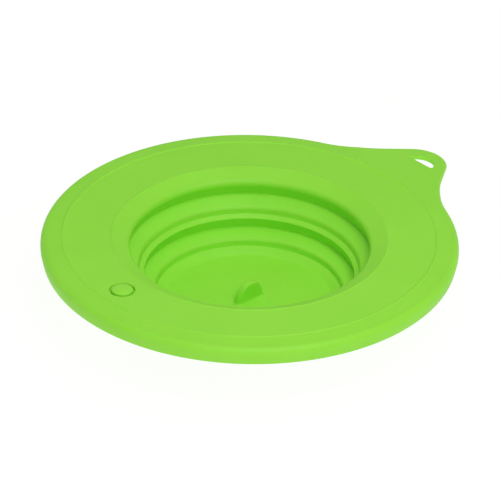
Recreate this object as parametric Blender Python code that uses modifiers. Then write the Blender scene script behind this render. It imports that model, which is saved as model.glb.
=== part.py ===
"""A collapsible silicone bowl lid: a wide flat rim round a folding well, with a standing grip on the
well's floor, a push-pull vent plug in the rim and a tab to hang it by.

Metres, +Z up. The origin is the centre of the well's underside, which the lid stands on, and +X points
along the hanging tab. The lid is shown with its well pushed down.
"""

from math import acos, cos, degrees, pi, radians, sin, sqrt

import bmesh
import bpy

MM = 0.001

# ---------------------------------------------------------------- rim
RIM_R = 130.0 * MM  # outside of the rim
FLANGE_TOP = 48.2 * MM  # height of the rim's flat top above the table
PLATE_T = 3.0 * MM  # thickness of the rim plate
SKIRT_DROP = 12.4 * MM  # from the flat top down to the skirt's lower edge
SKIRT_T = 3.6 * MM
SKIRT_FOOT_T = 3.0 * MM
SKIRT_DRAFT = 1.8 * MM  # how far the skirt leans in from its rounded edge to its foot
RIM_ROUND = 3.6 * MM  # radius of the rim's upper edge
OUTER_BEAD = (116.5 * MM, 2.2 * MM, 0.6 * MM)  # radius, width and height
BORDER_START = 117.6 * MM  # outside the outer bead, the border and the tab slope down together
BORDER_SLOPE = 0.11
INNER_BEAD = (86.0 * MM, 1.8 * MM, 0.35 * MM)
SEAL_RIBS = (108.0 * MM, 89.5 * MM)  # radii of the two ribs that press on a bowl's edge
SEAL_RIB = (3.0 * MM, 1.2 * MM)  # width and height

# ---------------------------------------------------------------- hanging tab
TAB_T = 2.8 * MM
TAB_END_R = 18.8 * MM
TAB_END_X = 146.5 * MM  # centre of the tab's round end
TAB_FLANK = radians(54.5)  # direction that the tab's straight flank faces
TAB_FILLET = 78.5 * MM  # where the flank sweeps into the rim
SLOT_R = 9.6 * MM  # the slot's outer edge is an arc, and its inner edge a chord
SLOT_ARC_X = 145.6 * MM
SLOT_ARC_Y = -2.4 * MM  # the slot sits slightly to one side
SLOT_CHORD_X = 147.1 * MM

# ---------------------------------------------------------------- well
# Points of the well's inner surface: radius, and depth below the rim's flat top.
COLLAR_EDGE = (80.0 * MM, 2.2 * MM)
THROAT = (73.7 * MM, 8.2 * MM)
COLLAR_FOOT = (77.6 * MM, 15.0 * MM)
RING_HEAD = (68.6 * MM, 20.8 * MM)
RING_STEP = (68.4 * MM, 24.1 * MM)
RING_NOSE = (65.3 * MM, 26.0 * MM)
RING_FOOT = (68.2 * MM, 33.9 * MM)
BASE_HEAD = (58.6 * MM, 38.2 * MM)
BASE_STEP = (58.4 * MM, 41.9 * MM)
BASE_NOSE = (55.0 * MM, 43.6 * MM)
FLOOR_T = 2.8 * MM
FLOOR_EDGE = (52.5 * MM, FLANGE_TOP - FLOOR_T)
LIP_R = 6.0 * MM  # the collar rolls over into the well at this radius
COLLAR_T = 2.9 * MM
WALL_T = 2.6 * MM  # thickness of the two stiff rings
WEB_T = 1.3 * MM  # thickness of the two flexible folds
RING_CHAMFER = 1.6 * MM  # off the outside of each ring's head, so that its fold can turn over
FOOT_ROUND = 2.2 * MM

GRIP_HALF_LENGTH = 10.4 * MM
GRIP_RISE = 12.8 * MM
GRIP_T = 5.2 * MM
GRIP_ROUND = 1.2 * MM

# ---------------------------------------------------------------- vent
VENT_R = 101.2 * MM  # distance of the vent from the lid's axis
VENT_ANGLE = radians(176)
VENT_CENTRE = (VENT_R * cos(VENT_ANGLE), VENT_R * sin(VENT_ANGLE))
SEAT_R = 8.0 * MM
SEAT_DEPTH = 2.0 * MM
BOSS_R = 11.0 * MM
BOSS_DROP = 2.4 * MM  # below the plate's underside
BOSS_BOTTOM = FLANGE_TOP - PLATE_T - BOSS_DROP
BORE_R = 2.9 * MM
STEAM_HOLES = 3
STEAM_HOLE_R = 0.9 * MM
STEAM_RING_R = 4.6 * MM
CAP_R = 6.8 * MM
CAP_RISE = 1.5 * MM  # above the rim's flat top
CAP_EDGE = 0.5 * MM
CAP_SHOULDER = 1.3 * MM  # the cap's dome is this much higher than its side
STEM_R = 2.5 * MM
BARB_R = 4.3 * MM
BARB_LENGTH = 1.6 * MM
PLUG_LIFT = 3.0 * MM  # how far the plug pulls up before its barb stops it

GAP = 0.3 * MM  # between solids that meet
TURN_STEPS = 64
SMALL_STEPS = 32
MERGE = 0.01 * MM

SILICONE_GREEN = (0.27, 0.69, 0.075, 1.0)


# ---------------------------------------------------------------- scene and helpers
def clear_scene():
    for obj in list(bpy.data.objects):
        bpy.data.objects.remove(obj, do_unlink=True)


def new_collection(name):
    collection = bpy.data.collections.new(name)
    bpy.context.scene.collection.children.link(collection)
    return collection


def silicone(name, roughness):
    material = bpy.data.materials.new(name)
    material.use_nodes = True
    shader = material.node_tree.nodes["Principled BSDF"]
    shader.inputs["Base Color"].default_value = SILICONE_GREEN
    shader.inputs["Roughness"].default_value = roughness
    shader.inputs["Metallic"].default_value = 0.0
    return material


def add_object(name, mesh, collection, material=None):
    obj = bpy.data.objects.new(name, mesh)
    collection.objects.link(obj)
    if material:
        mesh.materials.append(material)
    return obj


def shade(obj):
    obj.data.shade_smooth()
    obj.data.set_sharp_from_angle(angle=radians(30))


def at(point):
    """A profile point, from (radius, depth below the rim's top) to (radius, height)."""
    return point[0], FLANGE_TOP - point[1]


def arc(centre, radius, start, end, steps):
    """Points on an arc in a plane, from one angle to another in degrees."""
    angles = [radians(start + (end - start) * i / steps) for i in range(steps + 1)]
    return [(centre[0] + radius * cos(a), centre[1] + radius * sin(a)) for a in angles]


def turned(name, profile, collection, material, steps=TURN_STEPS):
    """A solid of revolution about Z. Its profile of (radius, height) runs down the outside and back
    up the inside, or starts and ends on the axis."""
    mesh = bpy.data.meshes.new(name)
    edges = [(i, i + 1) for i in range(len(profile) - 1)]
    if profile[0][0] > 0:
        edges.append((len(profile) - 1, 0))
    mesh.from_pydata([(r, 0.0, z) for r, z in profile], edges, [])
    obj = add_object(name, mesh, collection, material)
    turn = obj.modifiers.new("Turn", "SCREW")
    turn.axis = "Z"
    turn.angle = 2 * pi
    turn.steps = steps
    turn.render_steps = steps
    turn.use_merge_vertices = True
    turn.merge_threshold = MERGE
    turn.use_smooth_shade = True
    return obj


def plate_mesh(name, outlines, thickness, collection):
    """A flat plate's mesh, centred on z = 0. Outlines after the first are holes."""
    curve = bpy.data.curves.new(name, "CURVE")
    curve.dimensions = "2D"
    curve.fill_mode = "BOTH"
    curve.extrude = thickness / 2
    for outline in outlines:
        spline = curve.splines.new("POLY")
        spline.points.add(len(outline) - 1)
        for point, (x, y) in zip(spline.points, outline):
            point.co = (x, y, 0.0, 1.0)
        spline.use_cyclic_u = True
    source = bpy.data.objects.new(name + "_outline", curve)
    collection.objects.link(source)
    bpy.context.view_layer.update()
    evaluated = source.evaluated_get(bpy.context.evaluated_depsgraph_get())
    mesh = bpy.data.meshes.new_from_object(evaluated)
    mesh.name = name
    bpy.data.objects.remove(source)
    shape = bmesh.new()
    shape.from_mesh(mesh)
    bmesh.ops.remove_doubles(shape, verts=shape.verts, dist=MERGE)
    bmesh.ops.recalc_face_normals(shape, faces=shape.faces)
    shape.to_mesh(mesh)
    shape.free()
    return mesh


def border_drop(radius):
    """How far the border, or the tab, has sloped down at this radius."""
    return BORDER_SLOPE * max(0.0, radius - BORDER_START)


def follow_border(mesh):
    for vertex in mesh.vertices:
        vertex.co.z -= border_drop(vertex.co.xy.length)


def cylinder(name, radius, top, bottom, collection, centre):
    mesh = bpy.data.meshes.new(name)
    shape = bmesh.new()
    bmesh.ops.create_cone(
        shape,
        cap_ends=True,
        segments=SMALL_STEPS,
        radius1=radius,
        radius2=radius,
        depth=top - bottom,
    )
    shape.to_mesh(mesh)
    shape.free()
    obj = add_object(name, mesh, collection)
    obj.location = (*centre, (top + bottom) / 2)
    return obj


def cut(obj, tool, operation="DIFFERENCE"):
    boolean = obj.modifiers.new(tool.name, "BOOLEAN")
    boolean.operation = operation
    boolean.object = tool
    tool.hide_render = True
    tool.display_type = "WIRE"


# ---------------------------------------------------------------- rim plate and skirt
def bead(radius, width, rise):
    """A low rounded bead on the rim's top, as profile points running outwards."""
    return [
        (radius - width / 2, FLANGE_TOP),
        (radius - width / 5, FLANGE_TOP + rise),
        (radius + width / 5, FLANGE_TOP + rise),
        (radius + width / 2, FLANGE_TOP),
    ]


def seal_rib(radius, under):
    """A rib under the rim, as profile points running inwards."""
    width, drop = SEAL_RIB
    return [(radius + width / 2, under), (radius, under - drop), (radius - width / 2, under)]


def make_rim_plate(lid, cutters, material):
    """The flat ring, with two beads above, two sealing ribs below, and the vent's seat."""
    under = FLANGE_TOP - PLATE_T
    outer = RIM_R - SKIRT_T - GAP
    inner, inner_top = at(COLLAR_EDGE)
    inner += GAP
    profile = [
        (outer, FLANGE_TOP - border_drop(outer)),
        (outer, under - border_drop(outer)),
        (BORDER_START, under),
        *(point for radius in SEAL_RIBS for point in seal_rib(radius, under)),
        (inner, inner_top - PLATE_T),
        (inner, inner_top),
        *bead(*INNER_BEAD),
        *bead(*OUTER_BEAD),
    ]
    plate = turned("rim_plate", profile, lid, material)
    cut_vent_seat(plate, cutters)
    return plate


def cut_vent_seat(plate, cutters):
    """A boss below, a recess for the plug's cap, a bore for its stem, and steam holes."""
    above = FLANGE_TOP + SEAT_DEPTH
    below = BOSS_BOTTOM - SEAT_DEPTH
    inside = FLANGE_TOP - PLATE_T / 2
    boss = cylinder("vent_boss", BOSS_R, inside, BOSS_BOTTOM, cutters, VENT_CENTRE)
    cut(plate, boss, "UNION")
    seat_floor = FLANGE_TOP - SEAT_DEPTH
    cut(plate, cylinder("vent_seat", SEAT_R, above, seat_floor, cutters, VENT_CENTRE))
    cut(plate, cylinder("vent_bore", BORE_R, inside, below, cutters, VENT_CENTRE))
    for i, centre in enumerate(arc(VENT_CENTRE, STEAM_RING_R, 0, 360, STEAM_HOLES)[:-1]):
        name = f"steam_hole_{i + 1}"
        cut(plate, cylinder(name, STEAM_HOLE_R, inside, below, cutters, centre))


def make_rim_skirt(lid, cutters, material):
    """The rim's turned-down edge, rounded above, with a notch that holds the tab's root."""
    inner = RIM_R - SKIRT_T
    top = FLANGE_TOP - border_drop(inner)
    foot = FLANGE_TOP - SKIRT_DROP
    profile = [
        *arc((inner, top - RIM_ROUND), RIM_ROUND, 90, 0, 5)[1:],
        (RIM_R - SKIRT_DRAFT, foot),
        (RIM_R - SKIRT_DRAFT - SKIRT_FOOT_T, foot),
        (inner, top - PLATE_T),
        (inner, top),
    ]
    skirt = turned("rim_skirt", profile, lid, material)
    half_angle = degrees(tab_root_angle() + GAP / RIM_R)
    near = arc((0, 0), inner - SKIRT_T, -half_angle, half_angle, 8)
    far = arc((0, 0), RIM_R + SKIRT_T, half_angle, -half_angle, 8)
    mesh = plate_mesh("tab_notch", [near + far], TAB_T + 2 * GAP, cutters)
    follow_border(mesh)
    notch = add_object("tab_notch", mesh, cutters)
    notch.location.z = FLANGE_TOP - TAB_T / 2
    cut(skirt, notch)
    return skirt


# ---------------------------------------------------------------- hanging tab
def tab_root_angle():
    """The angle, from the tab's middle, at which the tab's fillet touches the rim's circle."""
    flank = TAB_END_X * cos(TAB_FLANK) + TAB_END_R  # the flank's distance from the lid's axis
    return TAB_FLANK - acos((flank + TAB_FILLET) / (RIM_R + TAB_FILLET))


def tab_outline():
    """A round end, straight flanks, fillets that touch the rim's circle, and a curved root."""
    root = degrees(tab_root_angle())
    flank = degrees(TAB_FLANK)
    fillet_x = (RIM_R + TAB_FILLET) * cos(radians(root))
    fillet_y = (RIM_R + TAB_FILLET) * sin(radians(root))
    fillet = arc((fillet_x, fillet_y), TAB_FILLET, 180 + flank, 180 + root, 8)
    return [
        *arc((TAB_END_X, 0), TAB_END_R, -flank, flank, 14),
        *fillet,
        *arc((0, 0), RIM_R - SKIRT_T, root, -root, 12),
        *((x, -y) for x, y in reversed(fillet)),
    ]


def slot_outline():
    """A slot with a curved outer edge and a straight inner one."""
    half_angle = degrees(acos((SLOT_CHORD_X - SLOT_ARC_X) / SLOT_R))
    return arc((SLOT_ARC_X, SLOT_ARC_Y), SLOT_R, -half_angle, half_angle, 12)


def make_hang_tab(lid, material):
    mesh = plate_mesh("hang_tab", [tab_outline(), slot_outline()], TAB_T, lid)
    follow_border(mesh)
    tab = add_object("hang_tab", mesh, lid, material)
    tab.location.z = FLANGE_TOP - TAB_T / 2
    shade(tab)
    return tab


# ---------------------------------------------------------------- well
def make_well_collar(lid, material):
    """The lip that rolls over into the well, and the short stiff wall that flares out below it."""
    edge_r, edge_top = at(COLLAR_EDGE)
    throat_r, throat_z = at(THROAT)
    foot_r, foot_z = at(COLLAR_FOOT)
    under = edge_top - PLATE_T
    outer = foot_r + COLLAR_T
    profile = [
        (edge_r, edge_top),
        (edge_r, under),
        (throat_r + COLLAR_T, throat_z),
        (outer, foot_z + COLLAR_T),
        (outer, foot_z),
        (foot_r, foot_z),
        *arc((throat_r + LIP_R, throat_z), LIP_R, 180, 96, 6),
    ]
    return turned("well_collar", profile, lid, material)


def make_fold(name, head, foot, lid, material):
    """A thin cone that joins two stiff pieces, and turns over when the well collapses."""
    head_r, head_z = at(head)
    foot_r, foot_z = at(foot)
    slant = sqrt((head_r - foot_r) ** 2 + (head_z - foot_z) ** 2)
    down_r, down_z = (foot_r - head_r) / slant, (foot_z - head_z) / slant
    start = (head_r + down_r * GAP, head_z - GAP)
    end = (foot_r - down_r * GAP, foot_z - down_z * GAP)
    profile = [
        start,
        (start[0] - down_z * WEB_T, start[1] + down_r * WEB_T),
        (end[0] - down_z * WEB_T, end[1] + down_r * WEB_T),
        end,
    ]
    return turned(name, profile, lid, material)


def make_middle_ring(lid, material):
    """The stiff stepped ring between the two folds."""
    head, step, nose, foot = (at(p) for p in (RING_HEAD, RING_STEP, RING_NOSE, RING_FOOT))
    foot_corner = WEB_T / 2
    profile = [
        (head[0] + WEB_T, head[1] - RING_CHAMFER),
        (step[0] + WALL_T, step[1]),
        (step[0] + WALL_T, nose[1]),
        (foot[0] + WALL_T, nose[1] - WALL_T),
        (foot[0] + WALL_T, foot[1] + foot_corner),
        (foot[0] + WEB_T, foot[1]),
        foot,
        nose,
        step,
        (head[0], head[1] - GAP),
    ]
    return turned("middle_ring", profile, lid, material)


def make_base_ring(lid, material):
    """The stepped wall that stands round the floor."""
    head, step, nose, edge = (at(p) for p in (BASE_HEAD, BASE_STEP, BASE_NOSE, FLOOR_EDGE))
    outer = step[0] + WALL_T
    profile = [
        (head[0] + WEB_T, head[1] - RING_CHAMFER),
        (outer, step[1]),
        *arc((outer - FOOT_ROUND, FOOT_ROUND), FOOT_ROUND, 0, -90, 3),
        (edge[0] + GAP, 0.0),
        (edge[0] + GAP, edge[1]),
        nose,
        step,
        (head[0], head[1] - GAP),
    ]
    return turned("base_ring", profile, lid, material)


def make_base_floor(lid, material):
    """The flat disc that the lid stands on."""
    radius, top = at(FLOOR_EDGE)
    return turned("base_floor", [(0.0, top), (radius, top), (radius, 0.0), (0.0, 0.0)], lid, material)


def make_grip_fin(lid, material):
    """The upright half-oval that is pinched to pull the well up. It lies in line with the tab."""
    outline = [(GRIP_HALF_LENGTH * x, GRIP_RISE * y) for x, y in arc((0, 0), 1, 0, 180, 16)]
    mesh = plate_mesh("grip_fin", [outline], GRIP_T, lid)
    fin = add_object("grip_fin", mesh, lid, material)
    fin.rotation_euler.x = pi / 2
    fin.location.z = FLOOR_T + GAP
    soften = fin.modifiers.new("Soften", "BEVEL")
    soften.width = GRIP_ROUND
    soften.segments = 2
    shade(fin)
    return fin


# ---------------------------------------------------------------- vent plug
def make_vent_plug(lid, material):
    """One moulding: a domed cap, a stem through the rim and a barb that keeps it captive. Its
    parent stands on the axis that it slides along."""
    cap_under = FLANGE_TOP - SEAT_DEPTH + GAP
    cap_top = FLANGE_TOP + CAP_RISE
    barb_top = BOSS_BOTTOM - PLUG_LIFT - GAP
    barb_bottom = barb_top - BARB_LENGTH
    profile = [
        (0.0, cap_top),
        (CAP_R * 0.6, cap_top - CAP_SHOULDER / 4),
        (CAP_R - CAP_EDGE, cap_top - CAP_SHOULDER * 0.75),
        (CAP_R, cap_top - CAP_SHOULDER),
        (CAP_R, cap_under),
        (STEM_R, cap_under),
        (STEM_R, barb_top),
        (BARB_R, barb_top),
        (STEM_R, barb_bottom),
        (0.0, barb_bottom),
    ]
    axis = bpy.data.objects.new("vent_axis", None)
    lid.objects.link(axis)
    axis.location = (*VENT_CENTRE, 0.0)
    plug = turned("vent_plug", profile, lid, material, SMALL_STEPS)
    plug.parent = axis
    return plug


# ---------------------------------------------------------------- assembly
def build():
    clear_scene()
    lid = new_collection("collapsible_lid")
    cutters = new_collection("cutters")
    rim_silicone = silicone("silicone_rim", 0.45)
    well_silicone = silicone("silicone_well", 0.5)
    fold_silicone = silicone("silicone_fold", 0.5)
    plug_silicone = silicone("silicone_plug", 0.4)
    make_rim_plate(lid, cutters, rim_silicone)
    make_rim_skirt(lid, cutters, rim_silicone)
    make_hang_tab(lid, rim_silicone)
    make_well_collar(lid, well_silicone)
    make_fold("upper_fold", COLLAR_FOOT, RING_HEAD, lid, fold_silicone)
    make_middle_ring(lid, well_silicone)
    make_fold("lower_fold", RING_FOOT, BASE_HEAD, lid, fold_silicone)
    make_base_ring(lid, well_silicone)
    make_base_floor(lid, well_silicone)
    make_grip_fin(lid, well_silicone)
    make_vent_plug(lid, plug_silicone)


build()
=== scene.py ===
# A collapsible silicone lid: wide flat rim, folding well with a standing grip, vent plug, hanging tab.
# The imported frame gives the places; this script gives each moulded surface its real shape and finish.
from math import acos, atan2, ceil, cos, degrees, hypot, pi, radians, sin, sqrt, tan

import bmesh
import bpy
from mathutils import Matrix, Quaternion, Vector


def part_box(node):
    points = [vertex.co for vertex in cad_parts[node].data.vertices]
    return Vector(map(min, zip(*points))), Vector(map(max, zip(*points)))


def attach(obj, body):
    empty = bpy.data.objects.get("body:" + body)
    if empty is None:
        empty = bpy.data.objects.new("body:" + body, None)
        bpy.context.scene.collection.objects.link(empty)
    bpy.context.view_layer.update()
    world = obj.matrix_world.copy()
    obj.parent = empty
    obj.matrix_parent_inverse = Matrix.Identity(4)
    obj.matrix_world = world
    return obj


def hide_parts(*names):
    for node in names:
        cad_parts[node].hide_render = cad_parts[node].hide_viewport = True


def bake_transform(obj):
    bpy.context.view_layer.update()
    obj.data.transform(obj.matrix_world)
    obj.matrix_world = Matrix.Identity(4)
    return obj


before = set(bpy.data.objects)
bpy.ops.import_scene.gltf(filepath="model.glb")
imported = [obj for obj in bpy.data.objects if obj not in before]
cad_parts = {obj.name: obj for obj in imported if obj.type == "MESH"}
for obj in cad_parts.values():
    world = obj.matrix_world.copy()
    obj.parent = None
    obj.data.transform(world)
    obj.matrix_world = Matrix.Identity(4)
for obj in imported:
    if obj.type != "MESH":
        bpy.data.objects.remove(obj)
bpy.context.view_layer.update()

mm = 0.001
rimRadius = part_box("rim_skirt")[1].x
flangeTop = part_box("rim_plate")[1].z - 0.6 * mm
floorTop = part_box("base_floor")[1].z
webThickness = 1.3 * mm
seam = 0.5 * mm  # how far past a corner one piece ends and the thin fold begins


# small helpers

def hexToLinear(text):
    channels = [int(text[i:i + 2], 16) / 255 for i in (1, 3, 5)]
    return tuple(c / 12.92 if c <= 0.04045 else ((c + 0.055) / 1.055) ** 2.4 for c in channels) + (1.0,)


def smoothStep(x):
    x = min(1.0, max(0.0, x))
    return x * x * (3 - 2 * x)


def mix(a, b, share):
    return a + (b - a) * share


def arcPoints(centre, radius, start, end, steps):
    # from one angle to another in degrees, both ends included
    angles = [radians(mix(start, end, i / steps)) for i in range(steps + 1)]
    return [(centre[0] + radius * cos(a), centre[1] + radius * sin(a)) for a in angles]


def roundedPath(corners, stepAngle=12):
    # corners are (x, y, radius) in mm; each corner with a radius becomes an arc that touches both sides
    path = [corners[0][:2]]
    for before, here, after in zip(corners, corners[1:], corners[2:]):
        a = Vector(here[:2]) - Vector(before[:2])
        b = Vector(after[:2]) - Vector(here[:2])
        turn = a.angle_signed(b)
        if here[2] == 0 or abs(turn) < radians(2):
            path.append(here[:2])
            continue
        cut = here[2] * tan(abs(turn) / 2)
        start = Vector(here[:2]) - a.normalized() * cut
        side = -1 if turn > 0 else 1
        normal = Vector((-a.y, a.x)).normalized() * side
        centre = start + normal * here[2]
        steps = max(2, ceil(degrees(abs(turn)) / stepAngle))
        spoke = start - centre
        for i in range(steps + 1):
            swing = Matrix.Rotation(-turn * i / steps, 2)
            path.append(tuple(centre + swing @ spoke))
    path.append(corners[-1][:2])
    return path


def pointAlong(a, b, distance):
    step = (Vector(b) - Vector(a)).normalized() * distance
    return (a[0] + step.x, a[1] + step.y)


def offsetUnder(point, a, b, distance):
    # a point under the thin fold that runs from a down to b, at right angles to it
    along = (Vector(b) - Vector(a)).normalized()
    return (point[0] - along.y * distance, point[1] + along.x * distance)


def finishMesh(bm, name, recalc=True):
    if recalc:
        bmesh.ops.recalc_face_normals(bm, faces=bm.faces)
        if bm.calc_volume(signed=True) < 0:
            bmesh.ops.reverse_faces(bm, faces=bm.faces)
    mesh = bpy.data.meshes.new(name)
    bm.to_mesh(mesh)
    bm.free()
    mesh.shade_smooth()
    mesh.set_sharp_from_angle(angle=radians(50))
    obj = bpy.data.objects.new(name, mesh)
    bpy.context.scene.collection.objects.link(obj)
    return obj


def spinProfile(points, steps):
    # turns (radius, height) points in mm, measured from the rim's flat top, all the way round
    bm = bmesh.new()
    verts = [bm.verts.new((r * mm, 0, flangeTop + z * mm)) for r, z in points]
    edges = [bm.edges.new(pair) for pair in zip(verts, verts[1:])]
    bmesh.ops.spin(bm, geom=verts + edges, cent=(0, 0, 0), axis=(0, 0, 1), angle=2 * pi,
                   steps=steps, use_merge=True, use_normal_flip=False, use_duplicate=False)
    bmesh.ops.remove_doubles(bm, verts=bm.verts, dist=0.002 * mm)
    return bm


def wireLoop(bm, points):
    verts = [bm.verts.new(p) for p in points]
    return [bm.edges.new((verts[i - 1], verts[i])) for i in range(len(verts))]


def joinLoops(bm, loops):
    # a skin through loops that all have the same number of edges
    for a, b in zip(loops, loops[1:]):
        for here, there in zip(a, b):
            bm.faces.new((*here.verts, there.verts[1], there.verts[0]))


def fillFlat(bm, edges):
    bmesh.ops.triangle_fill(bm, use_beauty=True, use_dissolve=False, edges=edges, normal=(0, 0, 1))


def extrudeLoop(bm, edges, place):
    # carries a closed loop of edges to new places; place(vertex) gives where each new vertex goes
    made = bmesh.ops.extrude_edge_only(bm, edges=edges)["geom"]
    fresh = [v for v in made if isinstance(v, bmesh.types.BMVert)]
    old = set(edges)
    for v in fresh:
        v.co = place(v)
    freshSet = set(fresh)
    return [e for e in made if isinstance(e, bmesh.types.BMEdge)
            and e not in old and all(v in freshSet for v in e.verts)]


def openPatch(bm, z, inside):
    # removes the flat faces at height z whose middle is inside, and gives the edges of the hole
    doomed = []
    for face in bm.faces:
        if all(abs(v.co.z - z) < 0.001 * mm for v in face.verts):
            centre = face.calc_center_median()
            if inside(centre.x, centre.y):
                doomed.append(face)
    rim = [e for e in {e for f in doomed for e in f.edges}
           if sum(f in doomed for f in e.link_faces) == 1]
    bmesh.ops.delete(bm, geom=doomed, context="FACES_ONLY")
    loose = [e for e in bm.edges if not e.link_faces and e not in rim]
    bmesh.ops.delete(bm, geom=loose, context="EDGES")
    return rim


# the lid's outline: a circle with the tab's flare

tabShape = dict(
    endX=146.5, endRadius=18.8, flank=54.5, fillet=78.5,  # mm and degrees
    endSteps=18, flankSteps=7, filletSteps=14, circleStep=1.5,
    thickness=2.8, edgeRound=2.0, underRound=0.6,
    slotArcX=145.6, slotArcY=-2.4, slotRadius=9.6, slotChord=147.1, slotCorner=1.3,
    slotRound=0.7, slotMargin=1.0, slotClear=1.6,
)


def lidOutline(s):
    # (x, y, outward x, outward y) in mm, anticlockwise from the tab's end
    rim = rimRadius / mm
    flank = radians(s["flank"])
    reach = s["endX"] * cos(flank) + s["endRadius"]
    root = flank - acos((reach + s["fillet"]) / (rim + s["fillet"]))
    hub = Vector((cos(root), sin(root))) * (rim + s["fillet"])
    half = []
    for x, y in arcPoints((s["endX"], 0), s["endRadius"], 0, s["flank"], s["endSteps"]):
        half.append((x, y, (x - s["endX"]) / s["endRadius"], y / s["endRadius"]))
    start, outward = half[-1][:2], half[-1][2:]
    stop = (hub.x - s["fillet"] * outward[0], hub.y - s["fillet"] * outward[1])
    for i in range(1, s["flankSteps"]):
        share = i / s["flankSteps"]
        half.append((mix(start[0], stop[0], share), mix(start[1], stop[1], share), *outward))
    for x, y in arcPoints(hub, s["fillet"], 180 + s["flank"], 180 + degrees(root), s["filletSteps"]):
        half.append((x, y, (hub.x - x) / s["fillet"], (hub.y - y) / s["fillet"]))
    steps = ceil((360 - 2 * degrees(root)) / s["circleStep"])
    circle = arcPoints((0, 0), rim, degrees(root), 360 - degrees(root), steps)[1:-1]
    other = [(x, -y, nx, -ny) for x, y, nx, ny in reversed(half[1:])]
    return half + [(x, y, x / rim, y / rim) for x, y in circle] + other


# rim: one continuous skin with the plate, skirt, tab, lip and collar

wellShape = dict(  # the well's inner surface in mm: radius, height from the rim's flat top, rounding
    lip=(73.6, -5.2, 3.6),
    collarFoot=(77.6, -15.0, 0.5),
    ringHead=(68.6, -20.8, 0.8),
    ringStep=(68.4, -24.1, 0.7),
    ringNose=(65.3, -26.0, 0.7),
    ringFoot=(68.2, -33.9, 0.5),
    baseHead=(58.6, -38.2, 0.7),
    baseStep=(58.4, -41.9, 0.7),
    baseNose=(55.0, -43.6, 0.9),
    steps=192,
)

rimShape = dict(
    innerBead=(86.0, 1.8, 0.35), outerBead=(116.5, 2.3, 0.62),  # radius, width, height
    flatRings=(88.0, 89.2, 92.5, 96.0, 99.7, 103.5, 107.0, 110.5, 114.0, 114.9),
    slope=0.11, borderEnd=126.4, cornerRadius=3.7, cornerSteps=8,  # the border and tab fall by the slope
    skirtFoot=-11.2, plateThickness=3.0, ribs=((108.0, 3.0, 1.2), (89.5, 3.0, 1.2)),
    tabBlend=6.0,  # the edge changes from the rim's rounding to the tab's over this much flare
    tabRings=(0.12, 0.26, 0.4, 0.52, 0.64, 0.76, 0.88),
)


def bump(radius, width, height, base, steps=8):
    # a rounded bead or rib across a flat: (radius, height) points running outwards
    found = []
    for i in range(steps + 1):
        s = 2 * i / steps - 1
        found.append((radius + width / 2 * s, base + height * (0.5 + 0.5 * cos(pi * s))))
    return found


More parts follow.
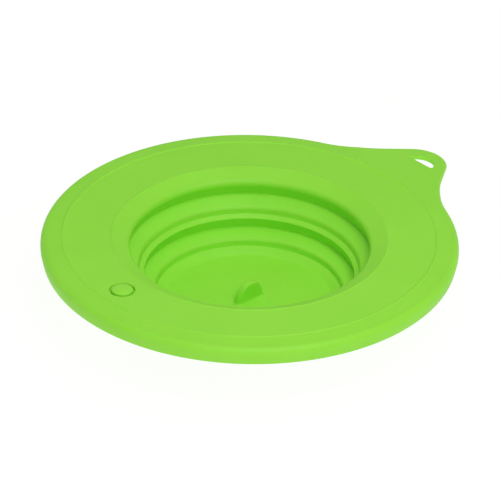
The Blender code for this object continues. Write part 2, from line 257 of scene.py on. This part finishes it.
def rimStations(s, well, tab):
    # each station is one ring of the skin, as a function of an outline point
    stations = []

    def ring(r, z):
        stations.append(lambda p: (Vector(p["way"]) * r).to_3d() + Vector((0, 0, z)))

    def edge(rimInset, rimZ, tabInset, tabZ):
        def place(p):
            inset, z = mix(rimInset, tabInset, p["tab"]), mix(rimZ, tabZ, p["tab"])
            return Vector((p["at"][0] - p["out"][0] * inset, p["at"][1] - p["out"][1] * inset, z))
        stations.append(place)

    def between(inner, outer, share):
        stations.append(lambda p: inner(p).lerp(outer(p), share))

    foot, ringHead = well["collarFoot"], well["ringHead"]
    start = pointAlong(foot[:2], ringHead[:2], seam / mm)
    bead, outerBead = s["innerBead"], s["outerBead"]
    inner = roundedPath([(*start, 0), foot, well["lip"], (84.6, -0.35, 3.0), (85.1, 0.0, 0)])
    for r, z in inner:
        ring(r, z)
    for r, z in bump(*bead, 0.0)[1:]:
        ring(r, z)
    for r in s["flatRings"]:
        ring(r, 0.0)
    for r, z in bump(*outerBead, 0.0):
        ring(r, z)

    # border, then the flat of the tab, then the rounded edge
    for r in (outerBead[0] + 2.0, outerBead[0] + 5.0, s["borderEnd"] - 0.2):
        ring(r, 0.0)
    borderRing = stations[-1]
    tabRound, under = tab["edgeRound"], -tab["thickness"]
    flat = s["cornerRadius"], tabRound
    edge(flat[0] + 0.15, 0.0, flat[1] + 0.3, 0.0)
    tabFlat = stations.pop()
    for share in (*s["tabRings"], 1.0):
        between(borderRing, tabFlat, share)
    for i in range(s["cornerSteps"] + 1):
        a = radians(90 * (1 - i / s["cornerSteps"]))
        edge(flat[0] * (1 - cos(a)), -flat[0] * (1 - sin(a)), flat[1] * (1 - cos(a)), -flat[1] * (1 - sin(a)))
    rimZ = -s["cornerRadius"]
    r0 = tab["underRound"]
    edge(0, rimZ - 0.1, 0, under + r0)
    edge(0, rimZ - 0.15, r0 * 0.3, under + r0 * 0.3)
    edge(0, rimZ - 0.2, r0, under)
    edge(0, rimZ - 0.25, r0 + 0.3, under)
    tabUnder = stations[-1]
    wall = rimRadius / mm

    def wallRing(extra, tabZ, belowRim):
        def place(p):
            r = wall + extra * p["tab"]
            return (Vector(p["way"]) * r).to_3d() + Vector((0, 0, mix(rimZ - belowRim, tabZ, p["tab"])))
        return place

    underRoot = wallRing(0.9, under, 0.25)
    for share in s["tabRings"]:
        between(tabUnder, underRoot, share)
    stations.append(underRoot)
    stations.append(wallRing(0.35, under - 0.15, 0.35))
    stations.append(wallRing(0.08, under - 0.45, 0.6))
    stations.append(wallRing(0.0, under - 0.9, 1.0))

    # skirt, underside of the plate with two sealing ribs, and the collar's outer wall
    plate = -s["plateThickness"]
    skirt = roundedPath([
        (wall, rimZ - 1.4, 0), (wall - 1.3, s["skirtFoot"], 1.1), (wall - 4.7, s["skirtFoot"], 0.7),
        (wall - 3.5, plate - 1.5, 1.4), (outerBead[0] + 1.0, plate, 3.0), (outerBead[0] - 3.0, plate, 0),
    ])
    for r, z in skirt:
        ring(r, z)
    for rib in s["ribs"]:
        for r, z in reversed(bump(rib[0], rib[1], -rib[2], plate)):
            ring(r, z)
        if rib is s["ribs"][0]:
            for r in (105.6, 102.5, 99.7, 96.5, 93.5, 91.9):
                ring(r, plate)
    end = offsetUnder(start, foot[:2], ringHead[:2], webThickness / mm)
    collar = roundedPath([
        (87.0, plate, 0), (85.0, plate - 0.3, 2.0), (77.7, plate - 3.0, 3.0),
        (76.9, foot[1] + 6.0, 2.0), (80.3, foot[1] + 0.3, 1.0), (*end, 0),
    ])
    for r, z in collar:
        ring(r, z)
    return stations


def makeRim():
    outline = lidOutline(tabShape)
    wall = rimRadius / mm
    places = []
    for x, y, nx, ny in outline:
        far = hypot(x, y)
        places.append(dict(at=(x, y), out=(nx, ny), way=(x / far, y / far),
                           tab=smoothStep((far - wall) / rimShape["tabBlend"])))
    stations = rimStations(rimShape, wellShape, tabShape)
    lift = Vector((0, 0, flangeTop))

    bm = bmesh.new()
    step = bm.verts.layers.int.new("step")
    bmesh.ops.create_circle(bm, cap_ends=False, segments=len(places), radius=wall * mm)
    order = sorted(bm.verts, key=lambda v: atan2(v.co.y, v.co.x) % (2 * pi))
    for i, v in enumerate(order):
        v[step] = i
        v.co = stations[0](places[i]) * mm + lift
    first = edges = list(bm.edges)
    for station in stations[1:]:
        edges = extrudeLoop(bm, edges, lambda v: station(places[v[step]]) * mm + lift)
    bmesh.ops.bridge_loops(bm, edges=first + edges)
    bmesh.ops.remove_doubles(bm, verts=bm.verts, dist=0.003 * mm)
    bmesh.ops.dissolve_degenerate(bm, edges=bm.edges, dist=0.003 * mm)
    bmesh.ops.recalc_face_normals(bm, faces=bm.faces)
    cutHangSlot(bm, tabShape)
    cutVentSeat(bm, ventShape)
    start = (rimShape["outerBead"][0] + rimShape["outerBead"][1] / 2) * mm
    for v in bm.verts:
        v.co.z -= rimShape["slope"] * max(0.0, v.co.xy.length - start)
    return finishMesh(bm, "rimSkin")


def slotOutline(s):
    # the slot has a curved outer side and a straight inner one; each point comes with its outward way
    cornerX = s["slotChord"] + s["slotCorner"]
    cornerY = sqrt((s["slotRadius"] - s["slotCorner"]) ** 2 - (cornerX - s["slotArcX"]) ** 2)
    swing = degrees(atan2(cornerY, cornerX - s["slotArcX"]))
    found, middle = [], s["slotArcY"]
    runs = [((s["slotArcX"], middle), s["slotRadius"], -swing, swing, 18),
            ((cornerX, middle + cornerY), s["slotCorner"], swing, 180, 8),
            ((cornerX, middle - cornerY), s["slotCorner"], 180, 360 - swing, 8)]
    for centre, radius, start, end, steps in runs:
        for x, y in arcPoints(centre, radius, start, end, steps):
            point = (x, y, (x - centre[0]) / radius, (y - centre[1]) / radius)
            if not found or hypot(x - found[-1][0], y - found[-1][1]) > 0.01:
                found.append(point)
        if centre == (cornerX, middle + cornerY):
            for i in range(1, 6):
                found.append((s["slotChord"], middle + mix(cornerY, -cornerY, i / 6), -1, 0))
    return found[:-1]


def cutHangSlot(bm, s):
    outline = slotOutline(s)
    top = flangeTop
    bottom = top - s["thickness"] * mm
    soft, margin = s["slotRound"], s["slotMargin"]

    def loopPoints(out, z):
        return [((x + nx * out) * mm, (y + ny * out) * mm, z) for x, y, nx, ny in outline]

    def near(x, y):
        x, y = x / mm, y / mm
        reach = margin + s["slotClear"]
        return (s["slotChord"] - reach < x
                and hypot(x - s["slotArcX"], y - s["slotArcY"]) < s["slotRadius"] + reach)

    topHole, bottomHole = openPatch(bm, top, near), openPatch(bm, bottom, near)
    loops = [wireLoop(bm, loopPoints(margin, top))]
    turns = [radians(a) for a in range(0, 91, 18)]
    for a in turns:
        loops.append(wireLoop(bm, loopPoints(soft * (1 - sin(a)), top - soft * mm * (1 - cos(a)))))
    for a in reversed(turns):
        loops.append(wireLoop(bm, loopPoints(soft * (1 - sin(a)), bottom + soft * mm * (1 - cos(a)))))
    loops.append(wireLoop(bm, loopPoints(margin, bottom)))
    joinLoops(bm, loops)
    fillFlat(bm, topHole + loops[0])
    fillFlat(bm, bottomHole + loops[-1])


# vent: seat in the rim, and the plug

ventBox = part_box("vent_plug")
ventCentre = (ventBox[0] + ventBox[1]) / 2

ventShape = dict(  # mm
    seatRadius=8.0, seatDepth=2.0, boreRadius=2.9, bossRadius=11.0, bossDrop=2.4,
    seatClear=3.6, underCut=8.0,  # how far round the vent the flat faces make way
    holes=3, holeRadius=0.9, holeRing=4.6, steps=64, holeSteps=16,
    capRadius=6.75, capRise=1.5, barbLength=1.6, barbRadius=4.25, stemRadius=2.5,
)


def cutVentSeat(bm, s):
    plate, boss = -rimShape["plateThickness"], -rimShape["plateThickness"] - s["bossDrop"]
    seat = -s["seatDepth"]

    def circle(radius, z, centre=(0, 0), steps=s["steps"]):
        spots = arcPoints(centre, radius, 0, 360, steps)[:-1]
        return wireLoop(bm, [(ventCentre.x + x * mm, ventCentre.y + y * mm, flangeTop + z * mm)
                             for x, y in spots])

    def loft(path):
        loops = [circle(r, z) for r, z in path]
        joinLoops(bm, loops)
        return loops[0], loops[-1]

    def near(reach):
        return lambda x, y: hypot(x - ventCentre.x, y - ventCentre.y) < reach * mm

    r, b = s["seatRadius"], s["bossRadius"]
    topHole = openPatch(bm, flangeTop, near(r + s["seatClear"]))
    underHole = openPatch(bm, flangeTop + plate * mm, near(s["underCut"]))
    topLoop, seatLoop = loft(roundedPath([
        (r + 1.1, 0, 0), (r, 0, 0.5), (r, seat, 0.3), (r - 1.0, seat, 0)], 18))
    boreTop, boreEnd = loft(roundedPath([(s["boreRadius"] + 0.5, seat, 0), (s["boreRadius"], seat, 0.2),
                                         (s["boreRadius"], boss, 0.2), (s["boreRadius"] + 0.5, boss, 0)], 30))
    # the boss's wall ends inside the plate, so that the sealing ribs can run into it
    bossLoop, underLoop = loft(roundedPath([(b - 1.4, boss, 0), (b, boss, 0.6), (b, plate + 0.3, 0)], 18))
    seatHoles, bossHoles = [], []
    for centre in arcPoints((0, 0), s["holeRing"], 0, 360, s["holes"])[:-1]:
        high = circle(s["holeRadius"], seat, centre, s["holeSteps"])
        low = circle(s["holeRadius"], boss, centre, s["holeSteps"])
        joinLoops(bm, [high, low])
        seatHoles += high
        bossHoles += low
    fillFlat(bm, seatLoop + boreTop + seatHoles)
    fillFlat(bm, bossLoop + boreEnd + bossHoles)
    fillFlat(bm, topHole + topLoop)
    fillFlat(bm, underHole + underLoop)


def makePlug(s):
    under = -s["seatDepth"] + 0.3
    barb = -rimShape["plateThickness"] - s["bossDrop"] - 3.3
    cap, stem = s["capRadius"], s["stemRadius"]
    path = roundedPath([
        (0, s["capRise"], 0), (cap - 2.6, s["capRise"] - 0.25, 9.0), (cap, s["capRise"] - 1.2, 0.8),
        (cap, under, 0.3), (stem, under, 0.3), (stem, barb, 0.3), (s["barbRadius"], barb, 0.25),
        (stem, barb - s["barbLength"], 0.3), (0, barb - s["barbLength"], 0),
    ], 15)
    bm = spinProfile(path, 64)
    for v in bm.verts:
        v.co += Vector((ventCentre.x, ventCentre.y, 0))
    return finishMesh(bm, "ventPlug")


# the folding well

def makeFold(name, head, foot):
    # the thin cone between two stiff pieces: one surface, whose wall Solidify adds below it
    start = pointAlong(head, foot, seam / mm)
    end = pointAlong(foot, head, seam / mm)
    path = [(mix(start[0], end[0], i / 14), mix(start[1], end[1], i / 14)) for i in range(15)]
    bm = spinProfile(path, wellShape["steps"])
    bmesh.ops.recalc_face_normals(bm, faces=bm.faces)
    face = next(iter(bm.faces))
    towardsAxis = -face.calc_center_median().to_2d()
    if face.normal.to_2d().dot(towardsAxis) < 0:
        bmesh.ops.reverse_faces(bm, faces=bm.faces)
    obj = finishMesh(bm, name, recalc=False)
    wall = obj.modifiers.new("wall", "SOLIDIFY")
    wall.thickness = webThickness
    wall.offset = -1
    wall.use_even_offset = True
    return obj, flangeTop + start[1] * mm, flangeTop + end[1] * mm


def makeMiddleRing(well):
    head, step, nose, foot = well["ringHead"], well["ringStep"], well["ringNose"], well["ringFoot"]
    collarFoot, baseHead = well["collarFoot"], well["baseHead"]
    start = pointAlong(head[:2], collarFoot[:2], seam / mm)
    end = pointAlong(foot[:2], baseHead[:2], seam / mm)
    startUnder = offsetUnder(start, collarFoot[:2], head[:2], webThickness / mm)
    endUnder = offsetUnder(end, foot[:2], baseHead[:2], webThickness / mm)
    path = roundedPath([
        (*start, 0), head, step, nose, foot, (*end, 0)])
    path += roundedPath([
        (*endUnder, 0), (70.7, foot[1] - 0.5, 0.9), (70.9, step[1] + 1.7, 1.5), (*startUnder, 0)])
    path.append(path[0])
    return finishMesh(spinProfile(path, well["steps"]), "middleRing")


gripShape = dict(  # mm
    halfLength=10.4, rise=12.8, halfWidth=2.6, crestRound=1.5, baseRound=1.6, steps=72, power=5.0,
)


def gripRings(s):
    # (half length, half width, height) of the grip's level slices, from its flared foot to its crest
    base = s["baseRound"]
    found = [(base - base * cos(radians(a)), base - base * sin(radians(a))) for a in range(0, 91, 15)]
    heights = [s["rise"] * sin(radians(a)) for a in range(9, 88, 6)] + [s["rise"] * 0.9995]
    found += [(h, 0.0) for h in heights if h > base + 0.3]
    rings = []
    for h, flare in found:
        length = s["halfLength"] * sqrt(max(0.0, 1 - (h / s["rise"]) ** 2))
        left = s["crestRound"] - (s["rise"] - h)
        inset = s["crestRound"] - sqrt(s["crestRound"] ** 2 - left ** 2) if left > 0 else 0.0
        rings.append((length + flare, s["halfWidth"] - inset + flare, h))
    return rings


def makeBase(well, grip):
    head, step, nose = well["baseHead"], well["baseStep"], well["baseNose"]
    floor = (floorTop - flangeTop) / mm
    ground = -flangeTop / mm
    start = pointAlong(head[:2], well["ringFoot"][:2], seam / mm)
    startUnder = offsetUnder(start, well["ringFoot"][:2], head[:2], webThickness / mm)
    inside = roundedPath([(*start, 0), head, step, nose, (52.4, floor, 3.0), (48.0, floor, 0)])
    inside += [(r, floor) for r in (40.0, 31.0, 23.0, 16.0)]
    outside = roundedPath([(*startUnder, 0), (60.9, -40.4, 1.5), (61.0, ground, 2.4), (57.0, ground, 0)])
    outside += [(r, ground) for r in (44.0, 30.0, 15.0, 0.0)]
    bm = spinProfile(list(reversed(inside)) + outside, well["steps"])

    # the grip grows out of the floor, slice by slice
    hole = [e for e in bm.edges if len(e.link_faces) == 1 and e.verts[0].co.xy.length < 17 * mm]
    mark = bm.verts.layers.int.new("mark")
    rings = gripRings(grip)

    def spot(i, ring, extra=0.0):
        a = 2 * pi * i / grip["steps"]
        bend = 2 / grip["power"]
        x = abs(cos(a)) ** bend * (1 if cos(a) >= 0 else -1)
        y = abs(sin(a)) ** bend * (1 if sin(a) >= 0 else -1)
        return Vector(((ring[0] + extra) * x * mm, (ring[1] + extra) * y * mm, floorTop + ring[2] * mm))

    edges = wireLoop(bm, [spot(i, rings[0], 0.4) for i in range(grip["steps"])])
    for i, e in enumerate(edges):
        e.verts[1][mark] = i
    fillFlat(bm, hole + edges)
    for ring in rings:
        edges = extrudeLoop(bm, edges, lambda v: spot(v[mark], ring))
    bmesh.ops.contextual_create(bm, geom=edges)
    return finishMesh(bm, "wellBase")


# materials

def addNode(tree, kind, settings=None, values=None, links=None):
    node = tree.nodes.new(kind)
    for key, value in (settings or {}).items():
        setattr(node, key, value)
    for key, value in (values or {}).items():
        node.inputs[key].default_value = value
    for key, source in (links or {}).items():
        tree.links.new(source, node.inputs[key])
    return node


siliconeLook = dict(
    colour="#9ae93f", deep="#90e236",  # pigmented silicone, and its slightly denser patches
    roughness=(0.48, 0.58), ior=1.41, translucence=0.2,
    patch=38.0, grain=0.9,  # mm
)


def makeSilicone(name, look, grainStrength, roughShift=0.0):
    # compression-moulded, pigmented silicone rubber: an even satin skin off a fine-blasted mould,
    # slightly translucent, with faint clouding in the pigment
    material = bpy.data.materials.new(name)
    material.use_nodes = True
    tree = material.node_tree
    shader = tree.nodes["Principled BSDF"]
    place = addNode(tree, "ShaderNodeTexCoord").outputs["Object"]
    cloud = addNode(tree, "ShaderNodeTexNoise", values={"Scale": 1000 / look["patch"], "Detail": 3.0,
                    "Roughness": 0.5}, links={"Vector": place})
    pigment = addNode(tree, "ShaderNodeMix", settings={"data_type": "RGBA"},
                      values={6: hexToLinear(look["deep"]), 7: hexToLinear(look["colour"])},
                      links={0: cloud.outputs["Fac"]})
    grain = addNode(tree, "ShaderNodeTexNoise", values={"Scale": 1000 / look["grain"], "Detail": 2.0},
                    links={"Vector": place})
    rough = addNode(tree, "ShaderNodeMapRange", values={"To Min": look["roughness"][0] + roughShift,
                    "To Max": look["roughness"][1] + roughShift}, links={"Value": grain.outputs["Fac"]})
    skin = addNode(tree, "ShaderNodeBump", values={"Strength": grainStrength, "Distance": 0.06 * mm},
                   links={"Height": grain.outputs["Fac"]})
    tree.links.new(pigment.outputs[2], shader.inputs["Base Color"])
    tree.links.new(rough.outputs["Result"], shader.inputs["Roughness"])
    tree.links.new(skin.outputs["Normal"], shader.inputs["Normal"])
    shader.inputs["IOR"].default_value = look["ior"]
    shader.inputs["Metallic"].default_value = 0.0
    shader.inputs["Subsurface Weight"].default_value = look["translucence"]
    shader.inputs["Subsurface Scale"].default_value = 2.0 * mm
    shader.inputs["Subsurface Radius"].default_value = (0.6, 1.0, 0.25)
    return material


# stage, lights and camera

stageShape = dict(
    floorSize=6.0, floorColour="#f8f8f7", glow=1.0, bounce=0.08,
    world=0.42,
    lamps=(  # metres to the right, away from the camera and up, then size and watts
        ("keySoftbox", (0.35, -0.9, 1.5), 0.8, 13.5),
        ("overheadSoftbox", (0.1, 0.3, 1.5), 1.4, 2.5),
    ),
)

cameraShape = dict(
    azimuth=-44.0, elevation=31.35, roll=1.05, lens=450.0, sensor=36.0,
    acrossView=310.4, aimRight=0.11, aimDown=8.2,  # mm across the view, and where it aims
)


def makeStage(s):
    bm = bmesh.new()
    bmesh.ops.create_grid(bm, x_segments=2, y_segments=2, size=s["floorSize"] / 2)
    floor = finishMesh(bm, "floor", recalc=False)
    # a sheet of white acrylic lit from below, which keeps the shadow under the lid faint
    material = bpy.data.materials.new("litAcrylic")
    material.use_nodes = True
    tree = material.node_tree
    shader = tree.nodes["Principled BSDF"]
    place = addNode(tree, "ShaderNodeTexCoord").outputs["Object"]
    cloud = addNode(tree, "ShaderNodeTexNoise", values={"Scale": 3.0}, links={"Vector": place})
    tone = addNode(tree, "ShaderNodeMix", settings={"data_type": "RGBA"},
                   values={6: hexToLinear(s["floorColour"]), 7: hexToLinear("#fbfbfa")},
                   links={0: cloud.outputs["Fac"]})
    dim = addNode(tree, "ShaderNodeMix", settings={"data_type": "RGBA", "blend_type": "MULTIPLY"},
                  values={0: 1.0, 7: (s["bounce"],) * 3 + (1.0,)}, links={6: tone.outputs[2]})
    tree.links.new(dim.outputs[2], shader.inputs["Base Color"])
    tree.links.new(tone.outputs[2], shader.inputs["Emission Color"])
    shader.inputs["Emission Strength"].default_value = s["glow"]
    shader.inputs["Roughness"].default_value = 0.9
    shader.inputs["Specular IOR Level"].default_value = 0.0
    floor.data.materials.append(material)
    world = bpy.data.worlds.new("softRoom")
    bpy.context.scene.world = world
    world.use_nodes = True
    sky = world.node_tree.nodes["Background"]
    sky.inputs["Color"].default_value = (1, 1, 1, 1)
    sky.inputs["Strength"].default_value = s["world"]


def makeLights(s, facing):
    right, away = facing
    for name, place, size, watts in s["lamps"]:
        light = bpy.data.lights.new(name, "AREA")
        light.shape = "SQUARE"
        light.size = size
        light.energy = watts
        lamp = bpy.data.objects.new(name, light)
        bpy.context.scene.collection.objects.link(lamp)
        lamp.location = right * place[0] + away * place[1] + Vector((0, 0, place[2]))
        lamp.rotation_euler = (-lamp.location).to_track_quat("-Z", "Y").to_euler()


def makeCamera(s):
    a, e = radians(s["azimuth"]), radians(s["elevation"])
    back = Vector((sin(a) * cos(e), -cos(a) * cos(e), sin(e)))
    turn = (-back).to_track_quat("-Z", "Y") @ Quaternion((0, 0, 1), radians(s["roll"]))
    camera = bpy.data.cameras.new("studioCamera")
    camera.lens, camera.sensor_width = s["lens"], s["sensor"]
    obj = bpy.data.objects.new("studioCamera", camera)
    bpy.context.scene.collection.objects.link(obj)
    aim = Vector((0, 0, flangeTop))
    aim += turn @ Vector((s["aimRight"] * mm, -s["aimDown"] * mm, 0))
    distance = s["acrossView"] * mm * s["lens"] / s["sensor"]
    obj.location = aim + back * distance
    obj.rotation_mode = "QUATERNION"
    obj.rotation_quaternion = turn
    camera.clip_start, camera.clip_end = 0.1, 50.0
    bpy.context.scene.camera = obj
    return Vector((cos(a), sin(a), 0)), Vector((-sin(a), cos(a), 0))


# assembly

facing = makeCamera(cameraShape)
makeStage(stageShape)
makeLights(stageShape, facing)
bpy.context.scene.view_settings.view_transform = "Standard"
print("stage, lights and camera made")

rimSilicone = makeSilicone("siliconeRim", siliconeLook, 0.25)
wellSilicone = makeSilicone("siliconeWell", siliconeLook, 0.25)
foldSilicone = makeSilicone("siliconeFold", siliconeLook, 0.2)
plugSilicone = makeSilicone("siliconePlug", siliconeLook, 0.15, -0.05)
print("silicone mixed")


def addPiece(obj, material, slot, body, *nodes):
    obj.data.materials.append(material)
    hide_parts(*nodes)
    if body:
        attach(obj, body)
    print(obj.name, len(obj.data.polygons), "faces")
    return obj


addPiece(makeRim(), rimSilicone, "silicone_rim", "rim",
         "rim_plate", "rim_skirt", "hang_tab", "well_collar")
upper, head, foot = makeFold("upperFold", wellShape["collarFoot"][:2], wellShape["ringHead"][:2])
addPiece(upper, foldSilicone, "silicone_fold", None, "upper_fold")
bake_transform(upper)
addPiece(makeMiddleRing(wellShape), wellSilicone, "silicone_well", "middle", "middle_ring")
lower, head, foot = makeFold("lowerFold", wellShape["ringFoot"][:2], wellShape["baseHead"][:2])
addPiece(lower, foldSilicone, "silicone_fold", None, "lower_fold")
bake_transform(lower)
addPiece(makeBase(wellShape, gripShape), wellSilicone, "silicone_well", "base",
         "base_ring", "base_floor", "grip_fin")
addPiece(makePlug(ventShape), plugSilicone, "silicone_plug", "plug", "vent_plug")
print("lid assembled")
